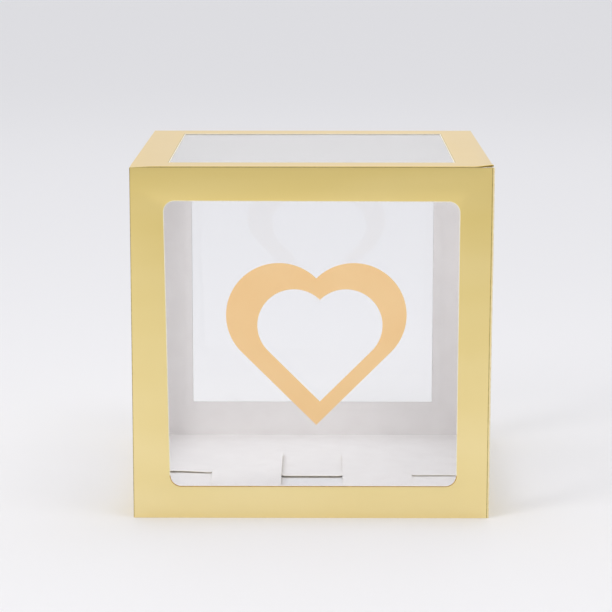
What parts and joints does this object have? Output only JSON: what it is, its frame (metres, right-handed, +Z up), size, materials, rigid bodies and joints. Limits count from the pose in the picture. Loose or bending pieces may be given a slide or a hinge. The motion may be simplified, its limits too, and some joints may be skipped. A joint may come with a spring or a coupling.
{
  "type": "wedding card box",
  "caption": "Square folding carton of gold foil board with clear film windows, a hinged tuck lid and a lock bottom, for collecting cards.",
  "frame": {"origin": "centre of the bottom, on the surface that the box stands on", "axes": "+Z up, -Y out of the front wall with the heart, +X to the right seen from the front"},
  "size_m": [0.3, 0.3, 0.298],
  "materials": {
    "gold_foil_board": "satin",
    "white_board": "matte",
    "clear_film": "gloss",
    "clear_glue": "satin",
    "peach_vinyl": "matte"
  },
  "bodies": {
    "carton": {"front_panel": "gold_foil_board", "back_panel": "gold_foil_board", "left_panel": "gold_foil_board", "right_panel": "gold_foil_board", "front_seam_flap": "white_board", "back_seam_flap": "white_board", "front_seam_glue": "clear_glue", "back_seam_glue": "clear_glue", "bottom_front_flap": "white_board", "bottom_left_flap": "white_board", "bottom_right_flap": "white_board", "bottom_back_flap": "white_board", "front_window_film": "clear_film", "back_window_film": "clear_film", "left_window_film": "clear_film", "right_window_film": "clear_film", "front_film_glue": "clear_glue", "back_film_glue": "clear_glue", "left_film_glue": "clear_glue", "right_film_glue": "clear_glue", "heart_decal": "peach_vinyl"},
    "lid": {"lid_panel": "gold_foil_board", "lid_window_film": "clear_film", "lid_film_glue": "clear_glue"},
    "tuck": {"tuck_flap": "gold_foil_board"},
    "left_dust": {"left_dust_flap": "gold_foil_board"},
    "right_dust": {"right_dust_flap": "gold_foil_board"}
  },
  "joints": [
    {"name": "lid_crease", "type": "hinge", "parent": "carton", "child": "lid", "pos_m": [0, 0.15, 0.298], "axis": [-1, 0, 0], "range_deg": [0, 180]},
    {"name": "tuck_crease", "type": "hinge", "parent": "lid", "child": "tuck", "pos_m": [0, -0.1491, 0.298], "axis": [-1, 0, 0], "range_deg": [0, 90]},
    {"name": "left_dust_crease", "type": "hinge", "parent": "carton", "child": "left_dust", "pos_m": [-0.15, 0, 0.2968], "axis": [0, -1, 0], "range_deg": [0, 90]},
    {"name": "right_dust_crease", "type": "hinge", "parent": "carton", "child": "right_dust", "pos_m": [0.15, 0, 0.2968], "axis": [0, 1, 0], "range_deg": [0, 90]}
  ],
  "couplings": [
    {"joint": "tuck_crease", "follows": "lid_crease", "ratio": 0.5},
    {"joint": "left_dust_crease", "follows": "lid_crease", "ratio": 0.5},
    {"joint": "right_dust_crease", "follows": "lid_crease", "ratio": 0.5}
  ]
}
